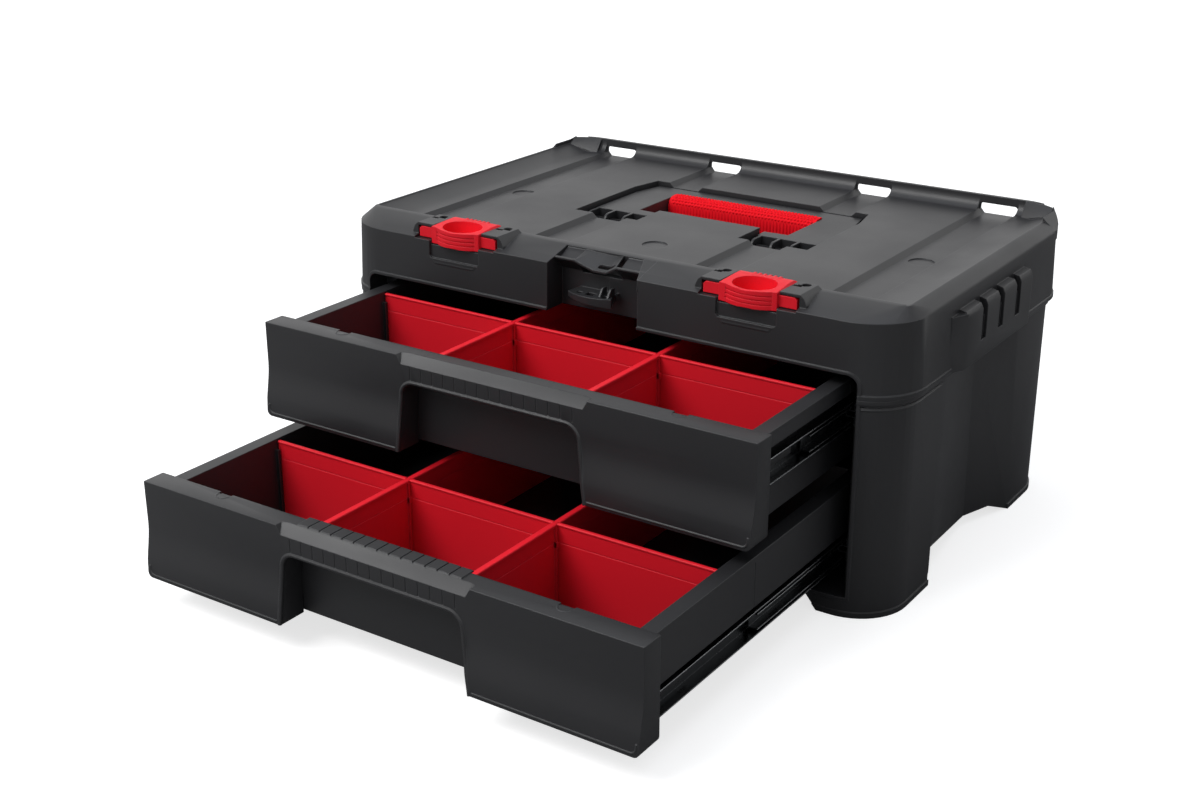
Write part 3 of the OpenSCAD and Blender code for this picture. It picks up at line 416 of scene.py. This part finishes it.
def drawer_front(level, ribbed):
    """Moulded drawer front: flared face, opening for the hand, finger bevel, half-ring marks."""
    node = level + "_drawer_front"
    (x0, x1), (y0, y1), (z0, _) = span(node)
    half, deep, top = (x1 - x0) / 2, y1 - y0, z0 + FRONT_H
    face_y = y0 + face_depth(FRONT_H)

    def at(y, z):
        return y0 + y, z0 + z

    def body(bm):
        heights = [FRONT_H - 1] + [FLARE_TOP - FLARE_STEP * i for i in range(FLARE_STEPS)] + [0]
        face = [at(face_depth(z), z) for z in heights]
        prism(bm, [at(face_depth(FRONT_H), FRONT_H), *face, at(deep, 0), at(deep, FRONT_H)], "X", x0, x1)

    def plan(bm):
        r = FRONT_CORNER
        outer = ([(-half, top), (-half, z0 + r)] + arc(-half + r, z0 + r, r, 180, 270, 5)[1:]
                 + [(x, z0 + z) for x, z in hand_outline(0)]
                 + arc(half - r, z0 + r, r, 270, 360, 5) + [(half, top)])
        prism(bm, outer, "Y", y0 - 5, y1 + 5)

    def hollow(bm):
        wall, ceiling = FRONT_WALL, FRONT_H - FRONT_WALL
        inner = [at(face_depth(z) + wall, z) for z in (FRONT_H - 9, FLARE_TOP, 20, 10, wall)]
        rear = [at(deep + 2, wall), at(deep + 2, ceiling), at(BEVEL_REAR + 2, ceiling)]
        for a, b in ((-half + wall, HAND_LEFT_FOOT - wall), (HAND_RIGHT_FOOT + wall, half - wall)):
            prism(bm, inner + rear, "X", a, b)

    def bevel(bm):
        low, over, rear, ahead = top - BEVEL_H, top + 2, y0 + BEVEL_REAR, face_y - 1
        ring = [(-BEVEL_LOW_HALF, face_y, low), (BEVEL_LOW_HALF, face_y, low),
                (BEVEL_LOW_HALF, rear, top), (-BEVEL_LOW_HALF, rear, top),
                (-BEVEL_TOP_HALF, ahead, over), (BEVEL_TOP_HALF, ahead, over),
                (BEVEL_TOP_HALF, rear, over), (-BEVEL_TOP_HALF, rear, over)]
        verts = [bm.verts.new(Vector(corner) * MM) for corner in ring]
        bmesh.ops.convex_hull(bm, input=verts)

    def grooves(bm):
        """Upright grooves below the bevel, and the notches of the half-ring marks."""
        upright = (z0 + HAND_H + 3, top - BEVEL_H - 0.3)
        for i in range(RIBS):
            x = (i - RIBS // 2) * RIB_PITCH
            block(bm, (x - GROOVE_HALF, x + GROOVE_HALF), (face_y - 1, face_y + GROOVE_DEEP), upright)
        for x in MARK_X:
            block(bm, (x - NOTCH_HALF, x + NOTCH_HALF), (y1 - 3, y1 + 1), (top - NOTCH_DEEP, top + 1))

    front = solid(level + "_front_shell", body)
    combine(front, solid("plan", plan), "INTERSECT")
    soften(front, FRONT_ROUND, 55)
    combine(front, solid("hollow", hollow), "DIFFERENCE")
    combine(front, solid("bevel", bevel), "DIFFERENCE")
    combine(front, solid("grooves", grooves), "DIFFERENCE")

    def on_face(name, outline, sunk, radius):
        return bead(name, [(x, y0 + face_depth(z) + sunk, z0 + z) for x, z in outline], radius)

    parts = [on_face("hand_rim", hand_outline(1.2), 0.6, HAND_RIM_R)]
    low, bend = LOWER_RIM_IN, LOWER_RIM_IN + FRONT_CORNER
    for side, foot in ((-1, -HAND_LEFT_FOOT), (1, HAND_RIGHT_FOOT)):
        edge = [(foot + 3, low), *arc(half - bend, bend, FRONT_CORNER, 270, 360, 5), (half - low, 9)]
        parts.append(on_face("lower_rim", [(side * x, z) for x, z in edge], 0.35, LOWER_RIM_R))
    for x in MARK_X:
        ring = [(a, b, top - 0.15) for a, b in arc(x, y1 - 3.4, MARK_R, 180, 360, 9)]
        parts.append(bead("ring_mark", ring, MARK_LINE_R))
    if ribbed:
        parts.append(solid("rib_pad", lambda bm: rib_pad(bm, y0 + BEVEL_REAR, y1 + 2.6, top)))
    seat(join(front, parts), node)


def rib_pad(bm, front, rear, top):
    """Cross ribs along the upper edge, between the finger bevel and the tray."""
    foot, crown = top - 0.3, top + RIB_LIFT
    profile = [(front, foot), (front + 0.6, crown), (rear - 0.5, crown), (rear, crown - 0.5), (rear, foot)]
    for i in range(RIBS - 1):
        x = (i - RIBS // 2) * RIB_PITCH
        prism(bm, profile, "X", x + RIB_SIDE_GAP, x + RIB_PITCH - RIB_SIDE_GAP)


drawer_front("upper", ribbed=False)
drawer_front("lower", ribbed=True)


# ---------------------------------------------------------------- dividers

PANEL_HALF, PRESSED_LINE = 1.0, 0.2
GUIDE_OUT, GUIDE_WIDE, GUIDE_STARTS = 2.5, 1.7, (-3.2, 1.5)
CLIP_OUT, CLIP_HALF, CLIP_DROP, CLIP_H = 3.2, 3.2, 17, 4


def rail_profile(rail_half, rail_h, low, top):
    """Section of a divider panel with its top rail and a faint line pressed below it."""
    panel, pressed = PANEL_HALF, PANEL_HALF - PRESSED_LINE
    right = [(panel, low), (panel, top - 13.8), (pressed, top - 13.7), (pressed, top - 13.2),
             (panel, top - 13.1), (panel, top - rail_h - 0.6), (rail_half, top - rail_h),
             (rail_half, top - 0.5), (rail_half - 0.5, top)]
    return right + [(-x, z) for x, z in right[::-1]]


def long_divider(level, side):
    """Panel from front to back, with guides and clips for the cross panels."""
    node = f"{level}_long_divider_{side}"
    (x0, x1), y, (low, top) = span(node)
    x = (x0 + x1) / 2
    cross = sum(span(f"{level}_short_divider_middle")[1]) / 2

    def build(bm):
        prism(bm, [(x + a, b) for a, b in rail_profile(2.3, 1.8, low, top)], "Y", *y)
        for c in (-1, 1):
            for d in GUIDE_STARTS:
                guide = (cross + d, cross + d + GUIDE_WIDE)
                block(bm, sorted((x, x + c * GUIDE_OUT)), guide, (low + 3, top - 2.2))
            clip = (cross - CLIP_HALF, cross + CLIP_HALF)
            block(bm, sorted((x, x + c * CLIP_OUT)), clip, (top - CLIP_DROP, top - CLIP_DROP + CLIP_H))
    seat(solid(f"{level}_long_panel_{side}", build), node)


def short_divider(level, side):
    """Panel across one column of a drawer."""
    node = f"{level}_short_divider_{side}"
    x, (y0, y1), (low, top) = span(node)
    profile = [((y0 + y1) / 2 + a, b) for a, b in rail_profile(1.5, 1.3, low, top)]
    seat(solid(f"{level}_short_panel_{side}", lambda bm: prism(bm, profile, "X", *x)), node)


for level in ("upper", "lower"):
    for side in ("left", "right"):
        long_divider(level, side)
    for side in ("left", "middle", "right"):
        short_divider(level, side)


# ------------------------------------------------------------------ handle

GRIP_R, GRIP_Y, GRIP_Z = 8, 60, 202
STUD_PITCH, ROUND_ROWS, FLAT_ROWS = 2.95, (4, 23, 42, 61), (62.7, 64.9)
STUD_SIZE = {"Width": 1.25 * MM, "Length": 1.15 * MM, "Height": 0.75 * MM}
BAR_Y, BAR_Z = 52.2, 198
BAR_SIZE = {"Width": 1.1 * MM, "Length": 7.5 * MM, "Height": 0.8 * MM}


def handle_grip():
    """Soft-touch grip: domed studs over the top, upright bars down the front."""
    grip = merged_copy("handle_grip", "handle_grip_shell")
    (x0, x1), _, _ = span("handle_grip")
    columns = int((x1 - x0 - 3) / STUD_PITCH)
    first = -(columns - 1) * STUD_PITCH / 2
    rows = [(GRIP_Y - GRIP_R * math.sin(a), GRIP_Z + GRIP_R * math.cos(a), a)
            for a in map(math.radians, ROUND_ROWS)]
    rows += [(y, GRIP_Z + GRIP_R, 0.0) for y in FLAT_ROWS]
    studs, turns = [], []
    for n, (y, z, a) in enumerate(rows):
        for i in range(columns - n % 2):
            studs.append((first + STUD_PITCH * (i + 0.5 * (n % 2)), y, z))
            turns.append(a)
    domes = grow("studs", studs, [], STUDS, grip_tpe, STUD_SIZE, turns)
    feet = [(first + STUD_PITCH * i, BAR_Y, BAR_Z) for i in range(columns)]
    bars = grow("bars", feet, [], STUDS, grip_tpe, BAR_SIZE, [math.radians(90)] * len(feet))
    seat(join(grip, [domes, bars]), "handle_grip", angle=50, finish=grip_tpe)


def handle_frame():
    """Frame with the gap that shows along its right arm."""
    shell = merged_copy("handle_frame", "handle_frame_shell")
    gap = [(98.9, -4), (101.5, -4), (101.5, 56.2), (95.6, 84), (93, 84), (98.9, 55.8)]
    combine(shell, solid("gap", lambda bm: prism(bm, gap, "Z", 203.5, 211)), "DIFFERENCE")
    seat(shell, "handle_frame")


handle_grip()
handle_frame()


# ----------------------------------------------------------------- housing

FRONT, LID_REAR, JOINT = -160, 156, 159.7
LOWER_HALF, LOWER_CORNER = 236.4, 38.6
UPPER_HALF, UPPER_CORNER = 238.9, 42
# Height above the joint and radius of each bead.
JOINT_BEADS = ((0.7, 0.5), (2.9, 0.4))
COLLAR_BEAD_Z, COLLAR_BEAD_R, COLLAR_GROOVE_Z = 152.9, 0.6, (154.5, 155.5)
LATCH_X, PLATE_OUT = 124, 30.5
ABOVE_LID, KEYHOLE_FLOOR, SLOT_FLOOR, KEYHOLE_R = 224, 216.5, 218.5, 3.3
LUG_X, LUG_REAR, LUG_STEP, LUG_TOP = (1.6, 11.6), FRONT + 19.9, 197.6, 203
STEP_TOP_HALF, STEP_FOOT_HALF = 21.3, 17.6


def joint_line(z, radius):
    """Bead along the lid's lower edge, from one side of the drawer opening round the back to the other."""
    across, ahead, behind = UPPER_HALF - UPPER_CORNER, FRONT + UPPER_CORNER, LID_REAR - UPPER_CORNER
    right = arc(across, ahead, UPPER_CORNER, 289, 360, 10) + arc(across, behind, UPPER_CORNER, 0, 90, 10)
    path = right + [(-x, y) for x, y in right[::-1]]
    return bead("joint_line", [(x, y, z) for x, y in path], radius)


def front_corner(out, start, rear, steps):
    """Plan of the lower housing's right front corner and some of its side, moved outwards."""
    bend = arc(LOWER_HALF - LOWER_CORNER, FRONT + LOWER_CORNER, LOWER_CORNER + out, start, 360, steps)
    return bend + [(LOWER_HALF + out, rear)]


def collar_line(side):
    """Bead round one front corner of the lower housing."""
    path = front_corner(0, 290, -86, 10)
    return bead("collar_line", [(side * x, y, COLLAR_BEAD_Z) for x, y in path], COLLAR_BEAD_R)


def collar_groove(bm):
    """Fine dark groove round the front corners, above the collar bead."""
    strip = front_corner(1, 289, -84, 12) + front_corner(-1, 289, -84, 12)[::-1]
    for side in (-1, 1):
        prism(bm, [(side * x, y) for x, y in strip], "Z", *COLLAR_GROOVE_Z)


def plate_openings(bm):
    """Round keyhole, 24 points round, and short slot in both cover plates of each latch."""
    for latch_x in (-LATCH_X, LATCH_X):
        for x in (latch_x - PLATE_OUT, latch_x + PLATE_OUT):
            prism(bm, arc(x + 0.6, FRONT + 27.8, KEYHOLE_R, 0, 345, 23), "Z", KEYHOLE_FLOOR, ABOVE_LID)
            block(bm, (x - 7.2, x - 0.6), (FRONT + 21.6, FRONT + 25.0), (SLOT_FLOOR, ABOVE_LID))


def lug_trim(bm):
    """What is taken off the padlock lug's ribs, in two steps."""
    block(bm, LUG_X, (FRONT + 14.5, LUG_REAR), (192.2, LUG_TOP))
    block(bm, LUG_X, (FRONT + 4, LUG_REAR), (LUG_STEP, LUG_TOP))


def latch_steps(bm):
    """Narrowing step under each latch."""
    top, foot = 197.6, 193.8
    for x in (-LATCH_X, LATCH_X):
        outline = [(x - STEP_TOP_HALF, top), (x - STEP_FOOT_HALF, foot), (x + STEP_FOOT_HALF, foot),
                   (x + STEP_TOP_HALF, top)]
        prism(bm, outline, "Y", FRONT + 0.5, FRONT + 2.8)


def pocket_floors(bm):
    """Sloping floors of the pockets on both sides of the hasp tongue."""
    slope = [(FRONT + 14.5, 211.5), (FRONT + 26.6, 217.4), (FRONT + 27.2, 217.4), (FRONT + 27.2, 206),
             (FRONT + 21, 206)]
    for a, b in ((-38, -21.2), (14.8, 36)):
        prism(bm, slope, "X", a, b)


def pocket_end(bm):
    """Slanted right end of the pockets."""
    outline = [(38.8, FRONT + 0.2), (38.8, FRONT + 27), (27, FRONT + 27), (38.2, FRONT + 0.2)]
    prism(bm, outline, "Z", 204, 222)


def ridge_slope(bm):
    """Length of the lid's front ridge, which gives the pocket end its top."""
    section = [(FRONT, 200), (FRONT + 1, 211.6), (FRONT + 9, 213.8), (FRONT + 28, 219), (FRONT + 28, 200)]
    prism(bm, section, "X", 20, 45)


def upper_housing():
    """Lid with its openings, its steps and pockets, and the two beads along its lower edge."""
    def cuts(bm):
        plate_openings(bm)
        lug_trim(bm)

    def fills(bm):
        latch_steps(bm)
        pocket_floors(bm)

    shell = merged_copy("upper_housing", "upper_housing_shell")
    combine(shell, solid("cuts", cuts), "DIFFERENCE")
    end = solid("pocket_end", pocket_end)
    combine(end, solid("slope", ridge_slope), "INTERSECT")
    beads = [joint_line(JOINT + up, radius) for up, radius in JOINT_BEADS]
    seat(join(shell, [solid("fills", fills), end, *beads]), "upper_housing")


def lower_housing():
    """Lower housing with the groove and the bead of its collar."""
    shell = merged_copy("lower_housing", "lower_housing_shell")
    combine(shell, solid("groove", collar_groove), "DIFFERENCE")
    seat(join(shell, [collar_line(-1), collar_line(1)]), "lower_housing")


def latch(side):
    """Sliding latch with its grip teeth cut down to low steps."""
    slider = merged_copy("latch_" + side, "latch_slider_" + side)
    x, _, (_, top) = span("latch_" + side)
    teeth = solid("teeth", lambda bm: block(bm, x, (FRONT + 20, FRONT + 40), (top - 0.9, top + 1)))
    combine(slider, teeth, "DIFFERENCE")
    seat(slider, "latch_" + side)


def drawer_tub(level):
    """Drawer tray as the solids have it, shaded smooth."""
    node = level + "_drawer_tub"
    seat(merged_copy(node, level + "_tub_shell"), node)


upper_housing()
lower_housing()
latch("left")
latch("right")
drawer_tub("upper")
drawer_tub("lower")


# ------------------------------------------------------------------ slides

LIP_INSET, LIP_R = 0.22, 0.3


def rail_lip_highlights(node):
    """Painted highlights along both lips of a slide member: thin lines of pale steel on its sheared edges.
    """
    (x0, x1), (y0, y1), (z0, z1) = span(node)
    x = x1 - LIP_INSET if x0 > 0 else x0 + LIP_INSET
    low, high = [bead("lip", [(x, y0, z), (x, y1, z)], LIP_R, lip_highlight_steel)
                 for z in (z0 + LIP_INSET, z1 - LIP_INSET)]
    lip_highlights = join(low, [high])
    lip_highlights.name = node + "_lip_highlights"
    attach(lip_highlights, BODY[node])


for level in ("upper", "lower"):
    for side in ("left", "right"):
        for member in ("drawer", "middle"):
            rail_lip_highlights(f"{level}_{side}_{member}_rail")


# -------------------------------------------------------------------- stage

FLOOR_HALF, GLOW_NEAR, GLOW_FAR = 30.0, 0.7, 2.2
FLOOR_BOUNCE, FLOOR_SHOWN, FLOOR_GLOW = "8E8E8E", "D4D4D4", 0.72
AIR_COLOUR, AIR = "F2F4F8", 0.37
CEILING_FROM, CEILING_FULL, CEILING = 0.42, 0.85, 0.1
WHITE = (1, 1, 1, 1)


def studio_floor():
    """Pale floor that keeps the shadow and fades to white away from the box."""
    mesh = bpy.data.meshes.new("floor")
    s = FLOOR_HALF
    mesh.from_pydata([(-s, -s, 0), (s, -s, 0), (s, s, 0), (-s, s, 0)], [], [(0, 1, 2, 3)])
    floor = placed("floor", mesh)
    m, t = new_material("pale_studio_floor")
    ray = add(t, "ShaderNodeLightPath")
    matt = add(t, "ShaderNodeBsdfDiffuse", Color=linear(FLOOR_BOUNCE))
    pale = add(t, "ShaderNodeBsdfDiffuse", Color=linear(FLOOR_SHOWN))
    spot = add(t, "ShaderNodeNewGeometry").outputs["Position"]
    away = add(t, "ShaderNodeVectorMath", [(spot, 0)], operation="LENGTH")
    fade = add(t, "ShaderNodeMapRange", [(away.outputs["Value"], "Value")],
               interpolation_type="SMOOTHSTEP", **from_to(GLOW_NEAR, GLOW_FAR, FLOOR_GLOW, 1.0))
    glow = add(t, "ShaderNodeEmission", [(fade.outputs[0], "Strength")], Color=WHITE)
    both = add(t, "ShaderNodeAddShader", [(pale.outputs[0], 0), (glow.outputs[0], 1)])
    mix = add(t, "ShaderNodeMixShader", [(ray.outputs["Is Camera Ray"], 0), (matt.outputs[0], 1),
                                         (both.outputs[0], 2)])
    add(t, "ShaderNodeOutputMaterial", [(mix.outputs[0], "Surface")])
    mesh.materials.append(m)


def studio_air():
    """White for the camera, white walls with a dark ceiling in reflections, soft light for the rest."""
    world = bpy.data.worlds.new("studio_air")
    world.use_nodes = True
    w = world.node_tree
    w.nodes.clear()
    ray = add(w, "ShaderNodeLightPath")
    mirror = add(w, "ShaderNodeMath",
                 [(ray.outputs["Is Glossy Ray"], 0), (ray.outputs["Is Transmission Ray"], 1)],
                 operation="MAXIMUM")
    sky = add(w, "ShaderNodeTexCoord").outputs["Generated"]
    height = add(w, "ShaderNodeSeparateXYZ", [(sky, 0)]).outputs["Z"]
    ceiling = add(w, "ShaderNodeMapRange", [(height, "Value")],
                  interpolation_type="SMOOTHSTEP", **from_to(CEILING_FROM, CEILING_FULL, 1.0, CEILING))
    soft = add(w, "ShaderNodeBackground", Color=linear(AIR_COLOUR), Strength=AIR)
    walls = add(w, "ShaderNodeBackground", [(ceiling.outputs[0], "Strength")], Color=WHITE)
    white = add(w, "ShaderNodeBackground", Color=WHITE, Strength=1.0)
    shown = add(w, "ShaderNodeMixShader", [(mirror.outputs[0], 0), (soft.outputs[0], 1),
                                           (walls.outputs[0], 2)])
    mix = add(w, "ShaderNodeMixShader", [(ray.outputs["Is Camera Ray"], 0), (shown.outputs[0], 1),
                                         (white.outputs[0], 2)])
    add(w, "ShaderNodeOutputWorld", [(mix.outputs[0], "Surface")])
    bpy.context.scene.world = world


def lamp(name, place, aim, size, power, colour="FFFFFF"):
    """Soft rectangular lamp, in metres and watts, turned to a point."""
    data = bpy.data.lights.new(name, "AREA")
    data.shape = "RECTANGLE"
    data.size, data.size_y = size
    data.energy = power
    data.color = linear(colour)[:3]
    obj = placed(name, data)
    obj.location = place
    obj.rotation_euler = (Vector(aim) - Vector(place)).to_track_quat("-Z", "Y").to_euler()


def viewing_camera(place, azimuth, elevation, lens):
    """Camera on a 36 mm wide frame, turned by its azimuth and looking down by its elevation."""
    view = bpy.data.cameras.new("camera")
    view.lens = lens
    view.sensor_width = 36.0
    view.sensor_fit = "HORIZONTAL"
    camera = placed("camera", view)
    camera.location = place
    camera.rotation_euler = (math.radians(90 - elevation), 0, math.radians(azimuth))
    bpy.context.scene.camera = camera


studio_floor()
studio_air()
lamp("key", (-0.9, -1.5, 2.1), (0, -0.1, 0.15), (1.7, 1.4), 46)
lamp("top", (0.0, 0.3, 2.1), (0, 0, 0.2), (2.2, 1.6), 14, "F4F8FF")
viewing_camera((0.63176, -1.08950, 0.55693), azimuth=33.87, elevation=21.48, lens=50.0)
bpy.context.scene.view_settings.view_transform = "Standard"
